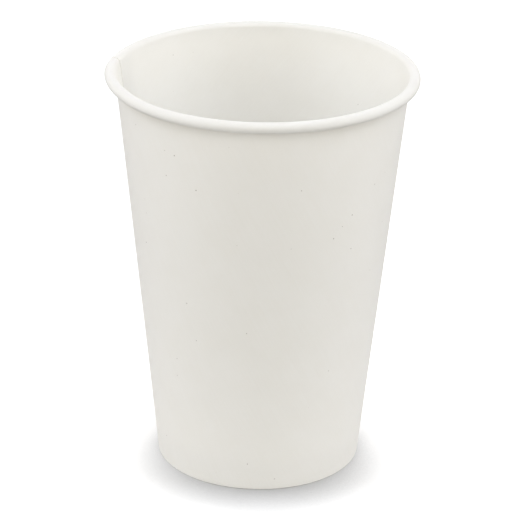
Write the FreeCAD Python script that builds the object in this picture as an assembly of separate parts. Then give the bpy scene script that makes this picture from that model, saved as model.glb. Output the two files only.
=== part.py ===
# Paper cup for hot drinks, made of two pieces of coated board:
#   side_wall   one blank wound to a cone and lapped along one side seam, its top edge rolled
#               outwards into the rim curl, its foot turned inwards and up as a hem
#   base_disc   a disc of thinner board whose turned-down skirt is held between wall and hem
#
# Frame: millimetres, +Z up, origin on the surface the cup stands on, in the middle of the foot.
# Azimuths are measured from +X towards +Y; the side seam lies near azimuth 168 degrees.

import FreeCAD, Part
import math
import os

# Overall sizes
HEIGHT = 106.0              # from the table to the crest of the curl
RIM_DIAMETER = 80.0         # over the curl, where a lid snaps on
FOOT_DIAMETER = 53.0        # outside of the wall, carried down to the table

# Side wall blank
WALL_BOARD = 0.35           # thickness of the board
LAP_AT_RIM = 8.0            # width of the side seam at the rim, narrowing with the cone
SEAM_AZIMUTH = 168.0        # cut edge of the inner lap, seen from inside the cup
JOGGLE_TURN = 3.0           # degrees over which the outer lap steps down to the single wall

# Rim curl
CURL_WIDTH = 2.9            # across the roll, from the inside of the wall outwards
CURL_GAP = 0.03             # air between two turns of the roll
LAP_TUCK_TURN = 130.0       # degrees that the doubled board of the lap turns in under the roll

# Foot
FOLD_BORE = 0.05            # inside radius of the two corners of the foot fold
HEM_HEIGHT = 7.0            # from the table to the cut edge of the hem
SEAL_GAP = 0.03             # between the skirt and the board on either side of it

# Base disc
BASE_BOARD = 0.30           # thickness of the board
BASE_LEVEL = 8.5            # underside of the panel above the table
BASE_BEND = 0.6             # inside radius of the bend from panel to skirt
SKIRT_LIFT = 0.1            # between the skirt's cut edge and the fold in the lap

# Board bends in narrow flats: degrees that a bend turns from one flat to the next
ROLL_FLAT_TURN = 30.0       # upper half of the curl, on its outside
BORE_FLAT_TURN = 60.0       # inside of the curl, and the edge tucked in under it
FOLD_FLAT_TURN = 90.0       # corners of the foot fold, and the bend from panel to skirt

AXIS_POINT = FreeCAD.Vector(0, 0, 0)
AXIS = FreeCAD.Vector(0, 0, 1)
FULL_TURN = 360.0
HALF_TURN = 180.0
QUARTER_TURN = 90.0


def flats_in(turn, flat_turn):
    """How many flats a bend is made of."""
    return max(1, round(turn / flat_turn))


ROLL_FLATS = flats_in(HALF_TURN, ROLL_FLAT_TURN)
BORE_FLATS = flats_in(HALF_TURN, BORE_FLAT_TURN)
FOLD_FLATS = flats_in(QUARTER_TURN, FOLD_FLAT_TURN)


def point(radius, height):
    """A point of the section, in the plane of azimuth 0."""
    return FreeCAD.Vector(radius, 0, height)


def bend(centre, radius, first, last, flats):
    """Points on a circle of the section, from one angle in degrees to another, where 0 points
    outwards from the cup's axis and 90 up."""
    turns = [math.radians(first + (last - first) * step / flats) for step in range(flats + 1)]
    return [centre + point(radius * math.cos(turn), radius * math.sin(turn)) for turn in turns]


def section(points):
    """Closed outline through points of the section."""
    return Part.makePolygon(points + points[:1])


def wall_lean():
    """Angle of the wall from upright, in degrees: its outer face starts at the foot's edge and
    runs tangent to the bore of the curl."""
    bore = CURL_WIDTH / 2 - WALL_BOARD
    run = RIM_DIAMETER / 2 - CURL_WIDTH / 2 - FOOT_DIAMETER / 2
    rise = HEIGHT - CURL_WIDTH / 2
    return math.degrees(math.atan2(run, rise) - math.asin(bore / math.hypot(run, rise)))


LEAN = wall_lean()
LEAN_COS = math.cos(math.radians(LEAN))
LEAN_TAN = math.tan(math.radians(LEAN))


def wall_radius(height, depth=0.0):
    """Radius of the wall's outer face at a height, or of the cone that lies depth inside it."""
    return FOOT_DIAMETER / 2 + height * LEAN_TAN - depth / LEAN_COS


HEM_DEPTH = 2 * WALL_BOARD + 2 * SEAL_GAP + BASE_BOARD
FOLD_RADIUS = FOLD_BORE + WALL_BOARD
LAP_TURN = math.degrees(LAP_AT_RIM / wall_radius(HEIGHT))


def fold_centre(depth, lift, side):
    """Centre of a corner of the foot fold, between the level of the fold's outer face and the
    cone that lies depth inside the wall. side is 1 under the wall and -1 under the hem."""
    height = lift + FOLD_RADIUS
    return point(wall_radius(height, depth) - side * FOLD_RADIUS / LEAN_COS, height)


def board_face(offset, lift, tuck_turn, roll_flats):
    """Points of one face of the wall's board, from the cut edge of the hem through the foot fold
    and up the wall into the curl. offset is measured from the outer face of the single wall,
    outwards on the wall, which is inwards in the curl; lift raises the foot fold."""
    pitch = WALL_BOARD + CURL_GAP
    fold = FOLD_RADIUS + offset
    roll = CURL_WIDTH / 2 - WALL_BOARD - offset
    roll_centre = point(RIM_DIAMETER / 2 - CURL_WIDTH / 2, HEIGHT - CURL_WIDTH / 2)
    tuck_centre = roll_centre + point(pitch / 2, 0.0)
    hem_edge = point(wall_radius(HEM_HEIGHT, HEM_DEPTH + offset), HEM_HEIGHT)
    return (
        [hem_edge]
        + bend(fold_centre(HEM_DEPTH, lift, -1), fold, -HALF_TURN - LEAN, -QUARTER_TURN, FOLD_FLATS)
        + bend(fold_centre(0.0, lift, 1), fold, -QUARTER_TURN, -LEAN, FOLD_FLATS)
        + bend(roll_centre, roll, HALF_TURN - LEAN, 0.0, roll_flats)
        + bend(tuck_centre, roll - pitch / 2, 0.0, -tuck_turn, BORE_FLATS)[1:]
    )


def board_section(inner, outer, lift=0.0, tuck_turn=HALF_TURN):
    """Closed section of the wall's board between two offsets."""
    drink_side = board_face(inner, lift, tuck_turn, ROLL_FLATS)
    hand_side = board_face(outer, lift, tuck_turn, BORE_FLATS)
    return section(drink_side + hand_side[::-1])


def turned(shape, azimuth):
    """A copy of a shape, turned about the cup's axis."""
    copy = shape.copy()
    copy.rotate(AXIS_POINT, AXIS, azimuth)
    return copy


def swept(outline, azimuth, turn):
    """A solid of an outline carried round the cup's axis, from an azimuth through a turn."""
    return Part.Face(turned(outline, azimuth)).revolve(AXIS_POINT, AXIS, turn)


def make_side_wall():
    """The wound blank: the single wall, the two layers of the lap, and the joggle in which the
    outer lap steps over the inner lap's cut edge down to the single wall."""
    single = board_section(-WALL_BOARD, 0.0)
    doubled = board_section(-WALL_BOARD, WALL_BOARD, WALL_BOARD, LAP_TUCK_TURN)
    outer_lap = board_section(0.0, WALL_BOARD, WALL_BOARD, LAP_TUCK_TURN)

    joggle_end = SEAM_AZIMUTH + JOGGLE_TURN
    wall = swept(single, joggle_end, FULL_TURN - JOGGLE_TURN - LAP_TURN)
    lap = swept(doubled, SEAM_AZIMUTH - LAP_TURN, LAP_TURN)
    joggle = Part.makeLoft([turned(outer_lap, SEAM_AZIMUTH), turned(single, joggle_end)], True, True)
    return wall.fuse([lap, joggle])


def make_base_disc():
    """The disc with its edge turned down into a skirt that lies against the wall."""
    skirt_outside = WALL_BOARD + SEAL_GAP
    skirt_inside = skirt_outside + BASE_BOARD
    skirt_foot = 2 * WALL_BOARD + SKIRT_LIFT
    outer_bend = BASE_BEND + BASE_BOARD
    bend_level = BASE_LEVEL - BASE_BEND
    bend_centre = point(wall_radius(bend_level, skirt_outside) - outer_bend / LEAN_COS, bend_level)
    upper_side = (
        [point(0, BASE_LEVEL + BASE_BOARD)]
        + bend(bend_centre, outer_bend, QUARTER_TURN, -LEAN, FOLD_FLATS)
        + [point(wall_radius(skirt_foot, skirt_outside), skirt_foot)]
    )
    lower_side = (
        [point(wall_radius(skirt_foot, skirt_inside), skirt_foot)]
        + bend(bend_centre, BASE_BEND, -LEAN, QUARTER_TURN, FOLD_FLATS)
        + [point(0, BASE_LEVEL)]
    )
    return swept(section(upper_side + lower_side), 0.0, FULL_TURN)


PIECES = {
    "side_wall": make_side_wall(),
    "base_disc": make_base_disc(),
}

os.makedirs("parts", exist_ok=True)
for name, solid in PIECES.items():
    solid.exportStep("parts/" + name + ".step")
    box = solid.BoundBox
    print(name, "solids", len(solid.Solids), "valid", solid.isValid(), "volume", round(solid.Volume, 2),
          "radius", round(box.XMax, 3), round(-box.XMin, 3), "height", round(box.ZMin, 3), round(box.ZMax, 3))
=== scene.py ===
"""The looks of a two-piece paper cup: a side wall wound from one blank of coated board, lapped
along one seam, rolled outwards at the rim and hemmed at the foot, and a base disc of thinner
board whose skirt is held in the hem. Metres and radians, +Z up, the cup's foot on z = 0."""

import math

import bpy
from bpy.props import FloatProperty, FloatVectorProperty, IntProperty, PointerProperty
from mathutils import Matrix, Vector


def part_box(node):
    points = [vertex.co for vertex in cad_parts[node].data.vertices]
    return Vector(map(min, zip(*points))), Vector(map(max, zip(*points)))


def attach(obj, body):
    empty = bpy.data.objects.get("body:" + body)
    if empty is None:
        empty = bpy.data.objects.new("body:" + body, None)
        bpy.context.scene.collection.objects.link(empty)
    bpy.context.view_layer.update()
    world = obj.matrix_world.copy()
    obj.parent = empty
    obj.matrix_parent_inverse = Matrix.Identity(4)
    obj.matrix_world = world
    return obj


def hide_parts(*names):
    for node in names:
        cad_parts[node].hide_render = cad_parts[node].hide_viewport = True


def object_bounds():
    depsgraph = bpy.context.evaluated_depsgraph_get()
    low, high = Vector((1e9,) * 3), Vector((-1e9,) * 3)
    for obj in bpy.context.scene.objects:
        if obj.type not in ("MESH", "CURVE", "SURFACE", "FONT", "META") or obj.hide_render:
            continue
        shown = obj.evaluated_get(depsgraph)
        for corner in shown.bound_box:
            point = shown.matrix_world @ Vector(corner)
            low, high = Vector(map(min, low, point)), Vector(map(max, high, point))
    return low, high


bl_info = {
    "name": "Paper Cup",
    "version": (1, 0, 0),
    "blender": (4, 5, 0),
    "location": "View3D > Sidebar > Paper Cup",
    "description": "Makes the finished surfaces of a paper cup and the studio around it",
    "category": "Object",
}

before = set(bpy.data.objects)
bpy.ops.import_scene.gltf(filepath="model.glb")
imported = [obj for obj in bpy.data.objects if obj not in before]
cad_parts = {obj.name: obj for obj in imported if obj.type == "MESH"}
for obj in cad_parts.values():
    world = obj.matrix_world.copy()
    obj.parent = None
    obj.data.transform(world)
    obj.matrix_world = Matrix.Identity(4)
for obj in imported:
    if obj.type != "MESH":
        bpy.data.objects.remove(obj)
CAD_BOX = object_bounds()
WALL_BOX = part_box("side_wall")

PHOTO_SIDE = 520                # pixels, both ways
SENSOR_WIDTH = 36.0             # millimetres, as a camera states it
WHITE = (1.0, 1.0, 1.0)

HALF_TURN = math.pi
QUARTER_TURN = math.pi / 2
FULL_TURN = 2 * math.pi
MM = 0.001

# Rows of faces along each stretch of the wall's board, from the hem's cut edge to the tucked edge
HEM_ROWS = 4
FOLD_ROWS = 6
FOOT_ROWS = 1
LOWER_WALL_ROWS = 6
UPPER_WALL_ROWS = 14
ROLL_ROWS = 16
TUCK_ROWS = 12
WALL_ROWS = (HEM_ROWS + 2 * FOLD_ROWS + FOOT_ROWS + LOWER_WALL_ROWS + UPPER_WALL_ROWS
             + ROLL_ROWS + TUCK_ROWS)
UPPER_WALL_START = 0.72         # share of the height from which the wall has closer rows

# Rows of faces along the base, from its middle to the skirt's cut edge
PANEL_ROWS = 16
BEND_ROWS = 8
SKIRT_ROWS = 4
BASE_ROWS = PANEL_ROWS + BEND_ROWS + SKIRT_ROWS
POLE_MERGE = 1e-6               # joins the vertices in the middle of the panel

SHARP_EDGE = math.radians(40.0)     # edges that turn more than this are shaded as sharp


class CupSizes(bpy.types.PropertyGroup):
    """Real sizes of the cup."""

    height: FloatProperty(
        name="Height", description="From the table to the crest of the curl",
        default=WALL_BOX[1][2], unit="LENGTH", precision=5)
    rim_diameter: FloatProperty(
        name="Rim diameter", description="Over the curl, where a lid presses on",
        default=0.080, unit="LENGTH", precision=5)
    foot_diameter: FloatProperty(
        name="Foot diameter", description="Outside of the wall, carried down to the table",
        default=0.053, unit="LENGTH", precision=5)
    wall_board: FloatProperty(
        name="Wall board", description="Thickness of the side wall's board",
        default=0.35 * MM, unit="LENGTH", precision=6)
    lap_at_rim: FloatProperty(
        name="Lap at the rim", description="Width of the side seam at the rim",
        default=8.0 * MM, unit="LENGTH", precision=5)
    lap_gap: FloatProperty(
        name="Lap gap", description="Film between the two layers of the side seam",
        default=0.01 * MM, unit="LENGTH", precision=6)
    seam_azimuth: FloatProperty(
        name="Seam azimuth", description="Where the inner lap's cut edge lies, seen from inside",
        default=math.radians(168.0), unit="ROTATION")
    joggle_turn: FloatProperty(
        name="Joggle turn", description="Turn over which the outer lap steps down to the wall",
        default=math.radians(0.8), unit="ROTATION")
    curl_width: FloatProperty(
        name="Curl width", description="Across the rolled rim",
        default=2.9 * MM, unit="LENGTH", precision=5)
    curl_gap: FloatProperty(
        name="Curl gap", description="Air between two turns of the roll",
        default=0.03 * MM, unit="LENGTH", precision=6)
    tuck_turn: FloatProperty(
        name="Tuck turn", description="Turn of the edge tucked in under the curl",
        default=HALF_TURN, unit="ROTATION")
    lap_tuck_turn: FloatProperty(
        name="Tuck turn in the lap", description="The same where the board is double",
        default=math.radians(130.0), unit="ROTATION")
    fold_bore: FloatProperty(
        name="Fold bore", description="Inside radius of the corners of the foot fold",
        default=0.05 * MM, unit="LENGTH", precision=6)
    hem_height: FloatProperty(
        name="Hem height", description="From the table to the cut edge of the hem",
        default=7.0 * MM, unit="LENGTH", precision=5)
    seal_gap: FloatProperty(
        name="Seal gap", description="Between the skirt and the board on either side of it",
        default=0.03 * MM, unit="LENGTH", precision=6)
    base_board: FloatProperty(
        name="Base board", description="Thickness of the base disc's board",
        default=0.30 * MM, unit="LENGTH", precision=6)
    base_level: FloatProperty(
        name="Base level", description="Underside of the panel above the table",
        default=8.5 * MM, unit="LENGTH", precision=5)
    base_bend: FloatProperty(
        name="Base bend", description="Inside radius of the bend from panel to skirt",
        default=0.6 * MM, unit="LENGTH", precision=5)
    skirt_lift: FloatProperty(
        name="Skirt lift", description="Between the skirt's cut edge and the fold in the lap",
        default=0.1 * MM, unit="LENGTH", precision=6)
    seam_bulge: FloatProperty(
        name="Seam bulge", description="How far the double board pushes the rim out of round",
        default=0.42 * MM, unit="LENGTH", precision=6)
    seam_dip: FloatProperty(
        name="Seam dip", description="How far the rim falls inside the round beside the seam",
        default=0.26 * MM, unit="LENGTH", precision=6)
    bulge_depth: FloatProperty(
        name="Bulge depth", description="How far below the rim the bulge fades",
        default=7.0 * MM, unit="LENGTH", precision=5)
    columns: IntProperty(
        name="Columns", description="Faces round the side wall", default=496, min=24)
    base_columns: IntProperty(
        name="Base columns", description="Faces round the base disc", default=192, min=24)


class CupFinish(bpy.types.PropertyGroup):
    """Colours and surface of the coated board."""

    board_colour: FloatVectorProperty(
        name="Board", description="Colour of the coated board", subtype="COLOR", size=3,
        default=(0.885, 0.878, 0.842))
    deep_colour: FloatVectorProperty(
        name="Mottle", description="Colour of the board where it is a shade deeper",
        subtype="COLOR", size=3, default=(0.865, 0.855, 0.812))
    core_colour: FloatVectorProperty(
        name="Cut edge", description="Colour of the uncoated core at a cut edge",
        subtype="COLOR", size=3, default=(0.83, 0.805, 0.75))
    speck_colour: FloatVectorProperty(
        name="Specks", description="Colour of the fibre specks in the board",
        subtype="COLOR", size=3, default=(0.36, 0.33, 0.29))
    roughness: FloatProperty(
        name="Roughness", description="Roughness of the coated board", default=0.5,
        min=0.0, max=1.0, subtype="FACTOR")
    glow: FloatProperty(
        name="Glow", description="Share of the light that passes into the thin board",
        default=0.5, min=0.0, max=1.0, subtype="FACTOR")
    glow_reach: FloatProperty(
        name="Glow reach", description="How far light travels inside the board",
        default=0.6 * MM, unit="LENGTH", precision=5)
    speck_share: FloatProperty(
        name="Speck share", description="Share of the places for a speck that hold one",
        default=0.3, min=0.0, max=1.0, subtype="FACTOR")


class CupStudio(bpy.types.PropertyGroup):
    """Camera, floor and lights."""

    camera_distance: FloatProperty(
        name="Camera distance", description="From the middle of the cup",
        default=0.756, unit="LENGTH")
    camera_elevation: FloatProperty(
        name="Camera elevation", description="Above the level of the cup's middle",
        default=math.radians(23.21), unit="ROTATION")
    camera_roll: FloatProperty(
        name="Camera roll", description="Turn about the line of sight",
        default=math.radians(0.813), unit="ROTATION")
    focal_pixels: FloatProperty(
        name="Focal length", description="In pixels of the photograph's frame",
        default=2900.0, subtype="PIXEL")
    cup_centre_x: FloatProperty(
        name="Cup centre x", description="Pixel of the photograph where the cup's middle lies",
        default=260.4, subtype="PIXEL")
    cup_centre_y: FloatProperty(
        name="Cup centre y", description="Pixel of the photograph where the cup's middle lies",
        default=261.7, subtype="PIXEL")
    top_light: FloatVectorProperty(
        name="Top light", description="Power of the soft light overhead, by colour",
        size=3, default=(0.24, 0.24, 0.24), unit="POWER")
    front_light: FloatVectorProperty(
        name="Front light", description="Power of the light high in front of the cup, by colour",
        size=3, default=(2.54, 2.55, 2.62), unit="POWER")
    side_light: FloatVectorProperty(
        name="Side lights", description="Power of each light high at a side, by colour",
        size=3, default=(2.05, 2.15, 2.35), unit="POWER")
    back_light: FloatVectorProperty(
        name="Back light", description="Power of the light high behind the cup, by colour",
        size=3, default=(0.32, 0.32, 0.32), unit="POWER")
    tent_top: FloatVectorProperty(
        name="Tent top", description="Light of the tent overhead, by colour", size=3,
        default=(0.0, 0.0, 0.0))
    tent_side: FloatVectorProperty(
        name="Tent sides", description="Light of the tent at the sides, by colour", size=3,
        default=(1.61, 1.51, 1.4))
    tent_back: FloatVectorProperty(
        name="Tent back", description="Light of the tent behind the cup, by colour", size=3,
        default=(1.61, 1.51, 1.4))
    tent_front: FloatVectorProperty(
        name="Tent front", description="Light of the tent behind the camera, by colour", size=3,
        default=(0.73, 0.68, 0.54))
    floor_colour: FloatVectorProperty(
        name="Floor", description="Colour of the floor", subtype="COLOR", size=3,
        default=(0.92, 0.92, 0.92))
    bounce_colour: FloatVectorProperty(
        name="Floor bounce", description="Colour of the floor by the cup, as it lights the cup",
        subtype="COLOR", size=3, default=(0.72, 0.72, 0.72))
    far_bounce_colour: FloatVectorProperty(
        name="Far bounce", description="Colour of the floor further out, as it lights the cup",
        subtype="COLOR", size=3, default=(0.45, 0.45, 0.45))
    # Painted shadow: the floor's colour for the camera where the cup hides its sky
    painted_shadow_colour: FloatVectorProperty(
        name="Painted floor shadow", description="Colour of the floor where the cup covers it",
        subtype="COLOR", size=3, default=(0.38, 0.38, 0.38))
    # How far round the foot the painted shadow reaches
    painted_shadow_reach: FloatProperty(
        name="Painted shadow reach", description="How far the cup darkens the floor around its foot",
        default=0.028, unit="LENGTH")
    # The floor's lift for the camera is weaker round the cup: a painted shadow
    shadow_lift: FloatProperty(
        name="Shadow lift", description="Light that the floor adds in the shadow, for the camera",
        default=0.1)
    floor_lift: FloatProperty(
        name="Floor lift", description="Light that the floor adds beyond the shadow, for the camera",
        default=0.52)
    shadow_start: FloatProperty(
        name="Shadow start", description="Where the floor starts to clear, from the shadow's middle",
        default=0.012, unit="LENGTH")
    shadow_end: FloatProperty(
        name="Shadow end", description="Where the floor is clear, from the shadow's middle",
        default=0.046, unit="LENGTH")


class Value:
    """A number in a node tree, used like a number in a Python expression."""

    def __init__(self, nodes, socket):
        self.nodes = nodes
        self.socket = socket

    def maths(self, operation, *others):
        """The result of a Math node that takes this value first."""
        values = (self,) + others
        node = self.nodes.add("ShaderNodeMath", {"operation": operation}, dict(enumerate(values)))
        return Value(self.nodes, node.outputs[0])

    def __add__(self, other):
        return self.maths("ADD", other)

    __radd__ = __add__

    def __sub__(self, other):
        return self.maths("SUBTRACT", other)

    def __rsub__(self, other):
        return (self * -1.0) + other

    def __mul__(self, other):
        return self.maths("MULTIPLY", other)

    __rmul__ = __mul__

    def __truediv__(self, other):
        return self.maths("DIVIDE", other)

    def __rtruediv__(self, other):
        return self.maths("POWER", -1.0) * other

    def __neg__(self):
        return self * -1.0

    def __pow__(self, other):
        return self.maths("POWER", other)

    def sin(self):
        return self.maths("SINE")

    def cos(self):
        return self.maths("COSINE")

    def exp(self):
        return self.maths("EXPONENT")

    def at_least(self, other):
        return self.maths("MAXIMUM", other)

    def at_most(self, other):
        return self.maths("MINIMUM", other)

    def clamped(self):
        """The value kept between 0 and 1."""
        return self.at_least(0.0).at_most(1.0)

    def eased(self, first, last):
        """0 up to first, 1 from last on, and a smooth step between."""
        share = ((self - first) / (last - first)).clamped()
        return share * share * (3.0 - 2.0 * share)


class Nodes:
    """A node tree being built."""

    def __init__(self, tree):
        self.tree = tree
        tree.nodes.clear()

    def add(self, kind, settings=None, inputs=None):
        """Adds a node: its settings first, then the values or links of its sockets, by name or
        place."""
        node = self.tree.nodes.new(kind)
        for name, value in (settings or {}).items():
            setattr(node, name, value)
        for key, value in (inputs or {}).items():
            self.feed(self.socket_of(node, key), value)
        return node

    def feed(self, socket, value):
        """Links a value of the tree to a socket, or sets a plain number or colour on it."""
        if isinstance(value, Value):
            value = value.socket
        if isinstance(value, bpy.types.NodeSocket):
            self.tree.links.new(value, socket)
        elif socket.type == "RGBA":
            socket.default_value = (*value, 1.0)
        else:
            socket.default_value = value

    def socket_of(self, node, key):
        """The live input of a node with a name, or at a place."""
        if isinstance(key, int):
            return node.inputs[key]
        return next(socket for socket in node.inputs if socket.name == key and socket.enabled)

    def value(self, kind, output, settings=None, inputs=None):
        """A number read from a new node."""
        return Value(self, self.add(kind, settings, inputs).outputs[output])

    def split(self, vector):
        """The three numbers of a vector."""
        node = self.add("ShaderNodeSeparateXYZ", None, {"Vector": vector})
        return [Value(self, node.outputs[axis]) for axis in range(3)]

    def vector(self, x, y, z):
        """A vector of three numbers."""
        return self.add("ShaderNodeCombineXYZ", None, {"X": x, "Y": y, "Z": z}).outputs["Vector"]

    def blend(self, share, first, second):
        """A colour between two, by a share from 0 to 1."""
        settings = {"data_type": "RGBA", "blend_type": "MIX", "clamp_factor": True}
        node = self.add("ShaderNodeMix", settings, {"Factor": share, "A": first, "B": second})
        return next(socket for socket in node.outputs if socket.enabled)


class Section:
    """A line of the cup's section, walked row by row from its first point through straight runs
    and arcs. radius and height are where a row of the mesh lies on it."""

    def __init__(self, row, radius, height):
        self.row = row
        self.rows = 0
        self.radius = radius
        self.height = height
        self.end = (radius, height)

    def passed(self, rows):
        """How much of the next stretch a row has passed, from 0 to 1."""
        share = ((self.row - float(self.rows)) / float(rows)).clamped()
        self.rows += rows
        return share

    def run_to(self, radius, height, rows):
        """A straight run to a point."""
        share = self.passed(rows)
        self.radius = self.radius + share * (radius - self.end[0])
        self.height = self.height + share * (height - self.end[1])
        self.end = (radius, height)

    def turn(self, centre, size, first, last, rows):
        """An arc round a centre, from one angle to another, that starts where the line ends."""
        angle = first + (last - first) * self.passed(rows)
        start = (cosine(first) * size, sine(first) * size)
        self.radius = self.radius + (angle.cos() * size - start[0])
        self.height = self.height + (angle.sin() * size - start[1])
        self.end = (centre[0] + cosine(last) * size, centre[1] + sine(last) * size)


def sine(angle):
    """The sine of an angle in a tree, or of a plain one."""
    return angle.sin() if isinstance(angle, Value) else math.sin(angle)


def cosine(angle):
    """The cosine of an angle in a tree, or of a plain one."""
    return angle.cos() if isinstance(angle, Value) else math.cos(angle)


def hypotenuse(first, second):
    """The length of a line in a tree, from its extent along two axes."""
    return (first * first + second * second) ** 0.5


class CupRule:
    """The rules that tie the sizes of the cup together, in the nodes of one tree."""

    def __init__(self, given):
        self.given = given
        bore = given["curl_width"] / 2.0 - given["wall_board"]
        run = (given["rim_diameter"] - given["curl_width"] - given["foot_diameter"]) / 2.0
        rise = given["height"] - given["curl_width"] / 2.0
        reach = hypotenuse(run, rise)
        self.lean = run.maths("ARCTAN2", rise) - (bore / reach).maths("ARCSINE")
        self.lean_cos = self.lean.cos()
        self.lean_tan = self.lean.maths("TANGENT")
        self.roll_centre = (given["rim_diameter"] / 2.0 - given["curl_width"] / 2.0, rise)
        self.hem_depth = (given["wall_board"] + given["seal_gap"]) * 2.0 + given["base_board"]
        self.fold_radius = given["fold_bore"] + given["wall_board"]
        self.lap_turn = given["lap_at_rim"] / self.wall_radius(given["height"], 0.0)

    def wall_radius(self, height, depth):
        """Radius of the wall's outer face at a height, or of the cone that lies depth inside."""
        return self.given["foot_diameter"] / 2.0 + height * self.lean_tan - depth / self.lean_cos

    def fold_centre(self, depth, lift, side):
        """Centre of a corner of the foot fold: side is 1 under the wall, -1 under the hem."""
        height = lift + self.fold_radius
        return self.wall_radius(height, depth) - self.fold_radius / self.lean_cos * side, height


def new_tree(name, group, names):
    """A geometry tree with one named input for each size, and the sizes as numbers in it."""
    tree = bpy.data.node_groups.new(name, "GeometryNodeTree")
    nodes = Nodes(tree)
    tree.interface.new_socket(name="Geometry", in_out="OUTPUT", socket_type="NodeSocketGeometry")
    titles = {size: group.bl_rna.properties[size].name for size in names}
    for size, title in titles.items():
        kind = "NodeSocketInt" if size.endswith("columns") else "NodeSocketFloat"
        tree.interface.new_socket(name=title, in_out="INPUT", socket_type=kind)
    entry = nodes.add("NodeGroupInput")
    return nodes, {size: Value(nodes, entry.outputs[title]) for size, title in titles.items()}


def grid_of_board(nodes, rows, columns):
    """A flat grid of rows along the section and columns round the cup: the mesh, each vertex's
    row, and its place round the cup from 0 to 1."""
    grid = nodes.add("GeometryNodeMeshGrid", None, {
        "Size X": float(rows), "Size Y": 1.0, "Vertices X": rows + 1, "Vertices Y": columns + 1.0})
    x, y, _ = nodes.split(nodes.add("GeometryNodeInputPosition").outputs["Position"])
    return grid.outputs["Mesh"], x + rows / 2.0, y + 0.5


def stored(nodes, geometry, name, value, data_type, domain):
    """Keeps a value on the mesh under a name."""
    settings = {"data_type": data_type, "domain": domain}
    inputs = {"Geometry": geometry, "Name": name, "Value": value}
    return nodes.add("GeometryNodeStoreNamedAttribute", settings, inputs).outputs["Geometry"]


def wrapped(nodes, mesh, cut_distance, hem, unrolled, place):
    """Moves the vertices of a grid to their places in the cup. Keeps on the mesh how far the
    nearest cut edge is, what lies in the hem, and the place on the flat blank as UVMap."""
    mesh = stored(nodes, mesh, "cut_distance", cut_distance, "FLOAT", "POINT")
    mesh = stored(nodes, mesh, "hem", hem, "FLOAT", "POINT")
    mesh = stored(nodes, mesh, "UVMap", nodes.vector(*unrolled), "FLOAT2", "CORNER")
    inputs = {"Geometry": mesh, "Position": nodes.vector(*place)}
    return nodes.add("GeometryNodeSetPosition", None, inputs).outputs["Geometry"]


def close_tree(nodes, geometry, material):
    """The end of a geometry tree: instances made real and the material set."""
    real = nodes.add("GeometryNodeRealizeInstances", None, {"Geometry": geometry})
    dressed = nodes.add("GeometryNodeSetMaterial", None, {
        "Geometry": real.outputs["Geometry"], "Material": material})
    nodes.add("NodeGroupOutput", None, {"Geometry": dressed.outputs["Geometry"]})


def bell(angle, middle, width):
    """A smooth hump of height 1 round the cup, at an azimuth."""
    return (((angle - middle).cos() - 1.0) / width ** 2).exp()


WALL_SIZES = (
    "height", "rim_diameter", "foot_diameter", "wall_board", "lap_at_rim", "lap_gap",
    "seam_azimuth", "joggle_turn", "curl_width", "curl_gap", "tuck_turn", "lap_tuck_turn",
    "fold_bore", "hem_height", "seal_gap", "base_board", "seam_bulge", "seam_dip",
    "bulge_depth", "columns",
)
BASE_SIZES = (
    "height", "rim_diameter", "foot_diameter", "wall_board", "lap_at_rim", "curl_width",
    "fold_bore", "seal_gap", "base_board", "base_level", "base_bend", "skirt_lift",
    "base_columns",
)

BULGE_BESIDE_SEAM = math.radians(5.0)       # from the cut edge to the middle of the bulge
BULGE_WIDTH = math.radians(13.0)
DIP_BESIDE_SEAM = math.radians(36.0)
DIP_WIDTH = math.radians(10.0)


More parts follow.
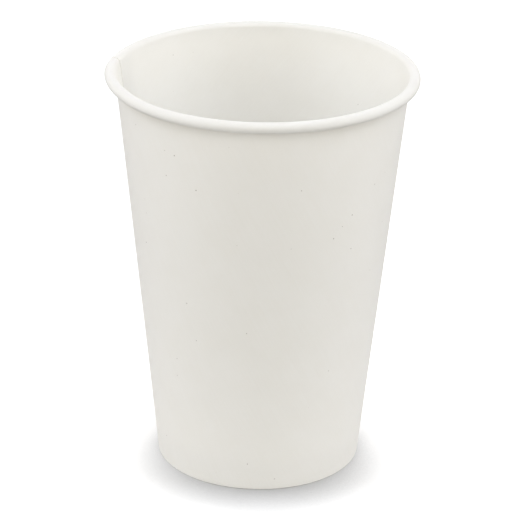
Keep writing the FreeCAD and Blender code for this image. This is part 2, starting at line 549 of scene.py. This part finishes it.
def side_wall_tree(group, material):
    """The middle of the wall's board as a surface: it starts as the outer layer of the lap, steps
    down to the single wall, goes once round and ends as the inner layer of the lap."""
    nodes, given = new_tree("wound_board", group, WALL_SIZES)
    rule = CupRule(given)
    mesh, row, place = grid_of_board(nodes, WALL_ROWS, given["columns"])

    board = given["wall_board"]
    seam = given["seam_azimuth"]
    start = seam - rule.lap_turn
    turn = rule.lap_turn + FULL_TURN
    angle = start + place * turn
    joggle = given["joggle_turn"]
    overlap_start = start + FULL_TURN
    outer_layer = 1.0 - angle.eased(seam, seam + joggle)
    inner_layer = angle.eased(overlap_start - joggle, overlap_start)
    double = (outer_layer + inner_layer).at_most(1.0)
    offset = outer_layer * (board + given["lap_gap"]) - board / 2.0
    lift = double * (board + given["lap_gap"])
    tuck_turn = given["tuck_turn"] + double * (given["lap_tuck_turn"] - given["tuck_turn"])

    pitch = board + given["curl_gap"]
    fold = rule.fold_radius + offset
    roll = given["curl_width"] / 2.0 - board - offset
    tuck_centre = (rule.roll_centre[0] + pitch / 2.0, rule.roll_centre[1])
    hem_corner = rule.fold_centre(rule.hem_depth, lift, -1.0)
    wall_corner = rule.fold_centre(0.0, lift, 1.0)
    hem_top = given["hem_height"]
    section = Section(row, rule.wall_radius(hem_top, rule.hem_depth + offset), hem_top + row * 0.0)
    hem_side = -HALF_TURN - rule.lean
    section.run_to(hem_corner[0] + fold * hem_side.cos(), hem_corner[1] + fold * hem_side.sin(),
                   HEM_ROWS)
    section.turn(hem_corner, fold, hem_side, -QUARTER_TURN, FOLD_ROWS)
    section.run_to(wall_corner[0], wall_corner[1] - fold, FOOT_ROWS)
    section.turn(wall_corner, fold, -QUARTER_TURN, -rule.lean, FOLD_ROWS)
    middle = given["height"] * UPPER_WALL_START
    section.run_to(rule.wall_radius(middle, -offset), middle, LOWER_WALL_ROWS)
    wall_top = HALF_TURN - rule.lean
    section.run_to(rule.roll_centre[0] + roll * wall_top.cos(),
                   rule.roll_centre[1] + roll * wall_top.sin(), UPPER_WALL_ROWS)
    section.turn(rule.roll_centre, roll, wall_top, 0.0, ROLL_ROWS)
    section.turn(tuck_centre, roll - pitch / 2.0, 0.0, -tuck_turn, TUCK_ROWS)

    below_rim = given["height"] - section.height
    fading = (-(below_rim / given["bulge_depth"])).exp()
    bulge = given["seam_bulge"] * bell(angle, seam + BULGE_BESIDE_SEAM, BULGE_WIDTH)
    dip = given["seam_dip"] * bell(angle, seam + DIP_BESIDE_SEAM, DIP_WIDTH)
    radius = section.radius + (bulge - dip) * fading

    to_seam_edge = (place * turn).at_most((1.0 - place) * turn) * section.radius
    to_hem_edge = row * hem_top / float(HEM_ROWS)
    in_hem = 1.0 - (row - float(HEM_ROWS)).clamped()
    surface = wrapped(
        nodes, mesh, to_seam_edge.at_most(to_hem_edge), in_hem,
        unrolled=(angle * section.radius, section.height, 0.0),
        place=(radius * angle.cos(), radius * angle.sin(), section.height))
    close_tree(nodes, surface, material)
    return nodes.tree


def base_disc_tree(group, material):
    """The middle of the base's board as a surface, from the centre of the panel to the skirt."""
    nodes, given = new_tree("turned_down_disc", group, BASE_SIZES)
    rule = CupRule(given)
    mesh, row, place = grid_of_board(nodes, BASE_ROWS, given["base_columns"])
    angle = place * FULL_TURN

    half_board = given["base_board"] / 2.0
    bend_level = given["base_level"] - given["base_bend"]
    skirt_outside = given["wall_board"] + given["seal_gap"]
    outer_bend = given["base_bend"] + given["base_board"]
    bend_radius = rule.wall_radius(bend_level, skirt_outside) - outer_bend / rule.lean_cos
    skirt_foot = given["wall_board"] * 2.0 + given["skirt_lift"]
    level = given["base_level"] + half_board
    bend = given["base_bend"] + half_board
    section = Section(row, row * 0.0, level)
    section.run_to(bend_radius, level, PANEL_ROWS)
    section.turn((bend_radius, bend_level), bend, QUARTER_TURN, -rule.lean, BEND_ROWS)
    section.run_to(rule.wall_radius(skirt_foot, skirt_outside + half_board), skirt_foot, SKIRT_ROWS)

    on_skirt = (row - float(PANEL_ROWS + BEND_ROWS)).clamped()
    to_skirt_edge = section.height - skirt_foot + (1.0 - on_skirt) * given["height"]
    x = section.radius * angle.cos()
    y = section.radius * angle.sin()
    surface = wrapped(nodes, mesh, to_skirt_edge, row * 0.0,
                      unrolled=(x, y, 0.0), place=(x, y, section.height))
    merged = nodes.add("GeometryNodeMergeByDistance", None, {
        "Geometry": surface, "Distance": POLE_MERGE})
    close_tree(nodes, merged.outputs["Geometry"], material)
    return nodes.tree


def finished_board(context, name, tree, group, names, board):
    """Evaluates a tree, gives its surface the board's thickness and keeps it as a plain mesh."""
    piece = bpy.data.objects.new(name, bpy.data.meshes.new(name + "_start"))
    context.scene.collection.objects.link(piece)
    shape = piece.modifiers.new("Shape", "NODES")
    shape.node_group = tree
    identifiers = {item.name: item.identifier for item in tree.interface.items_tree}
    for size in names:
        shape[identifiers[group.bl_rna.properties[size].name]] = getattr(group, size)
    thickness = piece.modifiers.new("Board", "SOLIDIFY")
    thickness.thickness = board
    thickness.offset = 0.0
    thickness.use_even_offset = True
    thickness.use_quality_normals = True
    evaluated = piece.evaluated_get(context.evaluated_depsgraph_get())
    mesh = bpy.data.meshes.new_from_object(evaluated)
    if not mesh.polygons:
        raise RuntimeError(name + " came out empty")
    piece.modifiers.clear()
    piece.data = mesh
    mesh.name = name
    mesh.shade_smooth()
    mesh.set_sharp_from_angle(angle=SHARP_EDGE)
    return piece


# Noise patterns of the board, with scales per metre
MOTTLE_NOISE = {"Scale": 90.0, "Detail": 3.0, "Roughness": 0.55}
GRAIN_NOISE = {"Scale": 1.0, "Detail": 4.0, "Roughness": 0.6}
GRAIN_ACROSS = 1700.0           # round the cup
GRAIN_ALONG = 70.0              # up the cup
FIBRE_NOISE = {"Scale": 2600.0, "Detail": 3.0, "Roughness": 0.6}

# What each pattern adds to the shade of the board
MOTTLE_SHADE = 0.5
GRAIN_SHADE = 0.4
FIBRE_SHADE = 0.1
SHADE_BAND = (0.3, 0.72)        # of their sum, from the board's colour to the deeper one

SPECK_SPACING = 2.6 * MM
SPECK_RADIUS = 0.19 * MM
SPECK_LEAST_SIZE = 0.5          # of that radius
SPECK_MORE_SIZE = 0.8           # what chance adds to it
SPECK_RAGGED = 0.03             # unevenness of a speck's edge, as a share of the spacing
SPECK_CORE = 0.55               # share of a speck's radius from which it fades
SPECK_LEAST_DEPTH = 0.4         # how much of the speck's colour shows
SPECK_MORE_DEPTH = 0.45         # what chance adds to it

CUT_EDGE_BAND = 0.12 * MM
CUT_EDGE_CORE = 0.3             # share of the band from which the raw core fades
CUT_EDGE_DEPTH = 0.5            # how much of the core's colour shows

# What each pattern adds to the relief of the board
FIBRE_RELIEF = 0.22
GRAIN_RELIEF = 0.25
MOTTLE_RELIEF = 0.6
RIB_RELIEF = 4.0
RIB_PITCH = 1.25 * MM
RELIEF_HEIGHT = 0.03 * MM       # of a relief of 1
RELIEF_STRENGTH = 0.35

# How far each pattern changes the roughness
MOTTLE_GLOSS = 0.16
FIBRE_GLOSS = 0.1
BOARD_IOR = 1.45
BOARD_SPECULAR = 0.35


def board_finish(name, finish):
    """Matt coated white board: faint mottle and grain, sparse grey fibre specks, a raw core at
    the cut edges, and the pressed ribs of the hem."""
    material = bpy.data.materials.new(name)
    material.use_nodes = True
    nodes = Nodes(material.node_tree)
    places = nodes.add("ShaderNodeTexCoord")
    where = places.outputs["Object"]
    u, v, _ = nodes.split(places.outputs["UV"])

    mottle = nodes.value("ShaderNodeTexNoise", "Fac", None, {"Vector": where, **MOTTLE_NOISE})
    along_grain = nodes.vector(u * GRAIN_ACROSS, v * GRAIN_ALONG, 0.0)
    grain = nodes.value("ShaderNodeTexNoise", "Fac", None, {"Vector": along_grain, **GRAIN_NOISE})
    fibre = nodes.value("ShaderNodeTexNoise", "Fac", None, {"Vector": where, **FIBRE_NOISE})
    shade = mottle * MOTTLE_SHADE + grain * GRAIN_SHADE + fibre * FIBRE_SHADE
    colour = nodes.blend(shade.eased(*SHADE_BAND), finish.board_colour, finish.deep_colour)

    speck = nodes.add("ShaderNodeTexVoronoi", {"feature": "F1"}, {
        "Vector": where, "Scale": 1.0 / SPECK_SPACING, "Randomness": 1.0})
    chance, size, depth = nodes.split(speck.outputs["Color"])
    reach = (size * SPECK_MORE_SIZE + SPECK_LEAST_SIZE) * (SPECK_RADIUS / SPECK_SPACING)
    ragged = Value(nodes, speck.outputs["Distance"]) + (fibre - 0.5) * SPECK_RAGGED
    present = chance.maths("GREATER_THAN", 1.0 - finish.speck_share)
    spot = (1.0 - ragged.eased(reach * SPECK_CORE, reach)) * present
    spot_depth = depth * SPECK_MORE_DEPTH + SPECK_LEAST_DEPTH
    colour = nodes.blend(spot * spot_depth, colour, finish.speck_colour)

    cut = nodes.value("ShaderNodeAttribute", "Fac", {"attribute_name": "cut_distance"})
    raw = 1.0 - cut.eased(CUT_EDGE_BAND * CUT_EDGE_CORE, CUT_EDGE_BAND)
    colour = nodes.blend(raw * CUT_EDGE_DEPTH, colour, finish.core_colour)

    hem = nodes.value("ShaderNodeAttribute", "Fac", {"attribute_name": "hem"})
    ribs = (u * (FULL_TURN / RIB_PITCH)).sin() * 0.5 + 0.5
    relief = (fibre * FIBRE_RELIEF + grain * GRAIN_RELIEF + mottle * MOTTLE_RELIEF
              + hem * ribs * RIB_RELIEF)
    bump = nodes.add("ShaderNodeBump", None, {
        "Strength": RELIEF_STRENGTH, "Distance": RELIEF_HEIGHT, "Height": relief})
    gloss = (mottle - 0.5) * MOTTLE_GLOSS + (fibre - 0.5) * FIBRE_GLOSS + finish.roughness
    board = nodes.add("ShaderNodeBsdfPrincipled", None, {
        "Base Color": colour, "Roughness": gloss.clamped(), "Normal": bump.outputs["Normal"],
        "IOR": BOARD_IOR, "Specular IOR Level": BOARD_SPECULAR, "Subsurface Weight": finish.glow,
        "Subsurface Radius": (1.0, 1.0, 1.0), "Subsurface Scale": finish.glow_reach})
    nodes.add("ShaderNodeOutputMaterial", None, {"Surface": board.outputs["BSDF"]})
    return material


class PAPERCUP_OT_side_wall(bpy.types.Operator):
    """Makes the wound side wall with its lapped seam, rolled rim and folded hem"""

    bl_idname = "papercup.side_wall"
    bl_label = "Side wall"

    def execute(self, context):
        sizes = context.scene.papercup_sizes
        finish = board_finish("coated_wall_board", context.scene.papercup_finish)
        tree = side_wall_tree(sizes, finish)
        wall = finished_board(context, "wound_side_wall", tree, sizes, WALL_SIZES,
                              sizes.wall_board)
        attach(wall, "root")
        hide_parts("side_wall")
        return {"FINISHED"}


class PAPERCUP_OT_base_disc(bpy.types.Operator):
    """Makes the base disc with its turned-down skirt"""

    bl_idname = "papercup.base_disc"
    bl_label = "Base disc"

    def execute(self, context):
        sizes = context.scene.papercup_sizes
        finish = board_finish("coated_base_board", context.scene.papercup_finish)
        tree = base_disc_tree(sizes, finish)
        base = finished_board(context, "seated_base_disc", tree, sizes, BASE_SIZES,
                              sizes.base_board)
        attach(base, "root")
        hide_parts("base_disc")
        return {"FINISHED"}


FLOOR_REACH = 3.0               # from the cup's axis to each edge of the floor
LIGHT_SIZE = 0.5
LIGHT_HEIGHT = 0.6              # above the floor
LIGHT_REACH = 0.6               # from the cup's axis to the lights in front, behind and beside it
NO_LIGHT = 1e-9                 # keeps a light without power from dividing by zero
TENT_BLEND = (0.1, 0.85)        # share of a direction at which a side of the tent starts and fills
PAINTED_SHADOW_SAMPLES = 8
PAINTED_SHADOW_FULL = 0.66               # share of the sky hidden at which the floor's painted shadow is fully dark
PAINTED_SHADOW_LEAN = (0.05, 0.3, 0.95)  # where the sky counts most for the painted shadow: upwards and somewhat behind the cup
SHADOW_MIDDLE = (0.002, -0.012)     # middle of the painted shadow in the floor's lift for the camera, where the lift is least
SHEET_EDGE = (0.08, 0.14)       # from the cup's axis, where the floor's bounce falls off


def ray_is(nodes, *kinds):
    """1 for a ray of one of the kinds, and 0 for any other."""
    rays = nodes.add("ShaderNodeLightPath")
    found = Value(nodes, rays.outputs[kinds[0]])
    for kind in kinds[1:]:
        found = found.at_least(Value(nodes, rays.outputs[kind]))
    return found


def make_floor(context, studio):
    """A wide plain floor that keeps the cup's shadow and is otherwise white to the camera. Painted
    shadow deepens it by the foot: the floor's colour darkens where the cup hides its sky, and its lift
    for the camera is weaker near the cup. The light that it sends back to the cup has colours of its
    own."""
    corners = [(x * FLOOR_REACH, y * FLOOR_REACH, 0.0) for x, y in ((-1, -1), (1, -1), (1, 1), (-1, 1))]
    mesh = bpy.data.meshes.new("studio_floor")
    mesh.from_pydata(corners, [], [(0, 1, 2, 3)])
    floor = bpy.data.objects.new("studio_floor", mesh)
    context.scene.collection.objects.link(floor)

    material = bpy.data.materials.new("studio_floor")
    material.use_nodes = True
    nodes = Nodes(material.node_tree)
    seen = ray_is(nodes, "Is Camera Ray")
    # Painted shadow: the floor's colour darkens where the cup hides its sky, on top of the lamps' real
    # shadow
    open_sky = nodes.value("ShaderNodeAmbientOcclusion", "AO", {"samples": PAINTED_SHADOW_SAMPLES}, {
        "Distance": studio.painted_shadow_reach, "Normal": nodes.vector(*PAINTED_SHADOW_LEAN)})
    painted_shadow_share = (1.0 - open_sky).eased(0.0, PAINTED_SHADOW_FULL)
    shown = nodes.blend(painted_shadow_share, studio.floor_colour, studio.painted_shadow_colour)
    x, y, _ = nodes.split(nodes.add("ShaderNodeTexCoord").outputs["Object"])
    away = hypotenuse(x, y).eased(*SHEET_EDGE)
    bounce = nodes.blend(away, studio.bounce_colour, studio.far_bounce_colour)
    matt = nodes.add("ShaderNodeBsdfDiffuse", None, {"Color": nodes.blend(seen, bounce, shown)})
    # Painted shadow: the floor's lift for the camera is weaker within a ring round the cup
    from_shadow = hypotenuse(x - SHADOW_MIDDLE[0], y - SHADOW_MIDDLE[1])
    clear = from_shadow.eased(studio.shadow_start, studio.shadow_end)
    strength = clear * (studio.floor_lift - studio.shadow_lift) + studio.shadow_lift
    lift = nodes.add("ShaderNodeEmission", None, {"Color": WHITE, "Strength": seen * strength})
    both = nodes.add("ShaderNodeAddShader", None, {
        0: matt.outputs["BSDF"], 1: lift.outputs["Emission"]})
    nodes.add("ShaderNodeOutputMaterial", None, {"Surface": both.outputs["Shader"]})
    mesh.materials.append(material)


def make_tent(context, studio):
    """A light tent: brightest at the sides and behind the cup, dimmer behind the camera, dark
    overhead. To the camera, in reflections and in transmission it is plain white."""
    world = bpy.data.worlds.new("light_tent")
    world.use_nodes = True
    nodes = Nodes(world.node_tree)
    x, y, z = nodes.split(nodes.add("ShaderNodeTexCoord").outputs["Generated"])
    light = studio.tent_side
    for towards, colour in ((-y, studio.tent_front), (y, studio.tent_back), (z, studio.tent_top)):
        light = nodes.blend(towards.eased(*TENT_BLEND), light, colour)
    plain = ray_is(nodes, "Is Camera Ray", "Is Glossy Ray", "Is Transmission Ray")
    tent = nodes.add("ShaderNodeBackground", None, {
        "Color": nodes.blend(plain, light, WHITE), "Strength": 1.0})
    nodes.add("ShaderNodeOutputWorld", None, {"Surface": tent.outputs["Background"]})
    context.scene.world = world


def make_soft_light(context, name, power, place):
    """A soft square light that points at the cup, which the camera doesn't see."""
    light = bpy.data.lights.new(name, "AREA")
    light.shape = "SQUARE"
    light.size = LIGHT_SIZE
    light.energy = max(power)
    light.color = [channel / max(*power, NO_LIGHT) for channel in power]
    lamp = bpy.data.objects.new(name, light)
    towards = Vector((0.0, 0.0, CAD_BOX[1][2] / 2)) - Vector(place)
    lamp.matrix_world = Matrix.Translation(place) @ towards.to_track_quat("-Z", "Y").to_matrix().to_4x4()
    lamp.visible_camera = False
    context.scene.collection.objects.link(lamp)


def make_camera(context, studio):
    """The camera of the photograph's view."""
    centre = Vector((0.0, 0.0, (CAD_BOX[0][2] + CAD_BOX[1][2]) / 2))
    back = Vector((0.0, -math.cos(studio.camera_elevation), math.sin(studio.camera_elevation)))
    camera = bpy.data.cameras.new("photo_camera")
    camera.sensor_width = SENSOR_WIDTH
    camera.lens = studio.focal_pixels * camera.sensor_width / PHOTO_SIDE
    camera.shift_x = (PHOTO_SIDE / 2 - studio.cup_centre_x) / PHOTO_SIDE
    camera.shift_y = (studio.cup_centre_y - PHOTO_SIDE / 2) / PHOTO_SIDE
    view = bpy.data.objects.new("photo_camera", camera)
    level = back.to_track_quat("Z", "Y").to_matrix().to_4x4()
    roll = Matrix.Rotation(studio.camera_roll, 4, "Z")
    view.matrix_world = Matrix.Translation(centre + back * studio.camera_distance) @ level @ roll
    context.scene.collection.objects.link(view)
    context.scene.camera = view


class PAPERCUP_OT_studio(bpy.types.Operator):
    """Makes the floor, the light tent, the lights and the camera"""

    bl_idname = "papercup.studio"
    bl_label = "Studio"

    def execute(self, context):
        studio = context.scene.papercup_studio
        make_floor(context, studio)
        make_tent(context, studio)
        lights = (
            ("top_light", studio.top_light, 0.0, 0.0),
            ("front_light", studio.front_light, 0.0, -LIGHT_REACH),
            ("back_light", studio.back_light, 0.0, LIGHT_REACH),
            ("left_light", studio.side_light, -LIGHT_REACH, 0.0),
            ("right_light", studio.side_light, LIGHT_REACH, 0.0),
        )
        for name, power, x, y in lights:
            make_soft_light(context, name, power, (x, y, LIGHT_HEIGHT))
        make_camera(context, studio)
        context.scene.view_settings.view_transform = "Standard"
        return {"FINISHED"}


class PAPERCUP_PT_panel(bpy.types.Panel):
    """Lists the cup's sizes, finish and studio, and what makes them"""

    bl_idname = "PAPERCUP_PT_panel"
    bl_label = "Paper Cup"
    bl_space_type = "VIEW_3D"
    bl_region_type = "UI"
    bl_category = "Paper Cup"

    def draw(self, context):
        for title, group, operators in (
                ("Sizes", context.scene.papercup_sizes, ("papercup.side_wall", "papercup.base_disc")),
                ("Finish", context.scene.papercup_finish, ()),
                ("Studio", context.scene.papercup_studio, ("papercup.studio",))):
            box = self.layout.box()
            box.label(text=title)
            for size in group.__annotations__:
                box.prop(group, size)
            for operator in operators:
                box.operator(operator)


CLASSES = (
    CupSizes, CupFinish, CupStudio,
    PAPERCUP_OT_side_wall, PAPERCUP_OT_base_disc, PAPERCUP_OT_studio,
    PAPERCUP_PT_panel,
)


def register():
    for kind in CLASSES:
        bpy.utils.register_class(kind)
    bpy.types.Scene.papercup_sizes = PointerProperty(type=CupSizes)
    bpy.types.Scene.papercup_finish = PointerProperty(type=CupFinish)
    bpy.types.Scene.papercup_studio = PointerProperty(type=CupStudio)


def unregister():
    del bpy.types.Scene.papercup_studio
    del bpy.types.Scene.papercup_finish
    del bpy.types.Scene.papercup_sizes
    for kind in reversed(CLASSES):
        bpy.utils.unregister_class(kind)


def main():
    """Makes the cup and its studio."""
    register()
    bpy.ops.papercup.side_wall()
    bpy.ops.papercup.base_disc()
    bpy.ops.papercup.studio()


if __name__ == "__main__":
    main()
